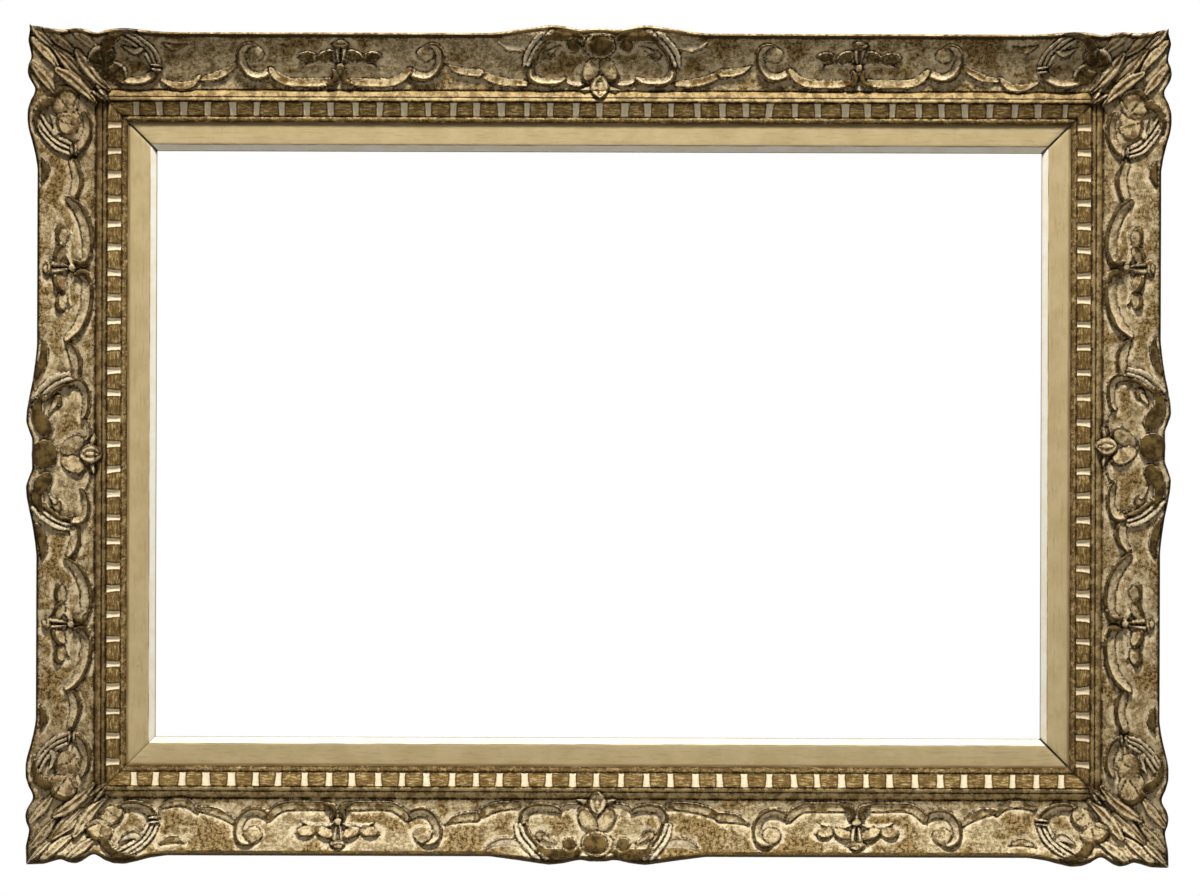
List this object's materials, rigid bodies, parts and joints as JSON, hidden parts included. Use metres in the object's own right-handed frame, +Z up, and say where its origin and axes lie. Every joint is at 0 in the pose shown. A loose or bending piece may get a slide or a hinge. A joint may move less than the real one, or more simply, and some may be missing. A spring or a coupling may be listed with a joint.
{
  "type": "picture frame",
  "caption": "Carved, mitred wooden picture frame with swept scroll ornament, fluted sight moulding, bevelled liner and ring hangers on the back.",
  "frame": {"origin": "centre of the frame on the wall plane, which is the flat back of the rails", "axes": "+X to the viewer's right along the long rails, +Z up, front faces -Y, wall on the +Y side"},
  "size_m": [1.03, 0.0466, 0.758],
  "materials": {
    "carved_wood": "worn antique gilding with cream and umber patina over carved wood",
    "liner_paint": "matt parchment-coloured paint, cream on the bevel",
    "key_wood": "bare oiled hardwood",
    "steel": "dull zinc-plated steel",
    "brass": "dulled brass plate"
  },
  "bodies": {
    "frame": {"rail_top": "carved_wood", "rail_bottom": "carved_wood", "rail_left": "carved_wood", "rail_right": "carved_wood", "liner_top": "liner_paint", "liner_bottom": "liner_paint", "liner_left": "liner_paint", "liner_right": "liner_paint", "key_top_left": "key_wood", "key_top_right": "key_wood", "key_bottom_left": "key_wood", "key_bottom_right": "key_wood", "liner_strips": "steel", "liner_brads": "steel", "hanger_strap_left": "brass", "hanger_strap_right": "brass", "hanger_screws_left": "steel", "hanger_screws_right": "steel"},
    "ring_left": {"hanger_ring_left": "brass"},
    "ring_right": {"hanger_ring_right": "brass"}
  },
  "joints": [
    {"name": "ring_left_swing", "type": "hinge", "parent": "frame", "child": "ring_left", "pos_m": [-0.465, 0.00295, 0.12333], "axis": [1, 0, 0], "range_deg": [0, 184]},
    {"name": "ring_right_swing", "type": "hinge", "parent": "frame", "child": "ring_right", "pos_m": [0.465, 0.00295, 0.12333], "axis": [1, 0, 0], "range_deg": [0, 184]}
  ]
}
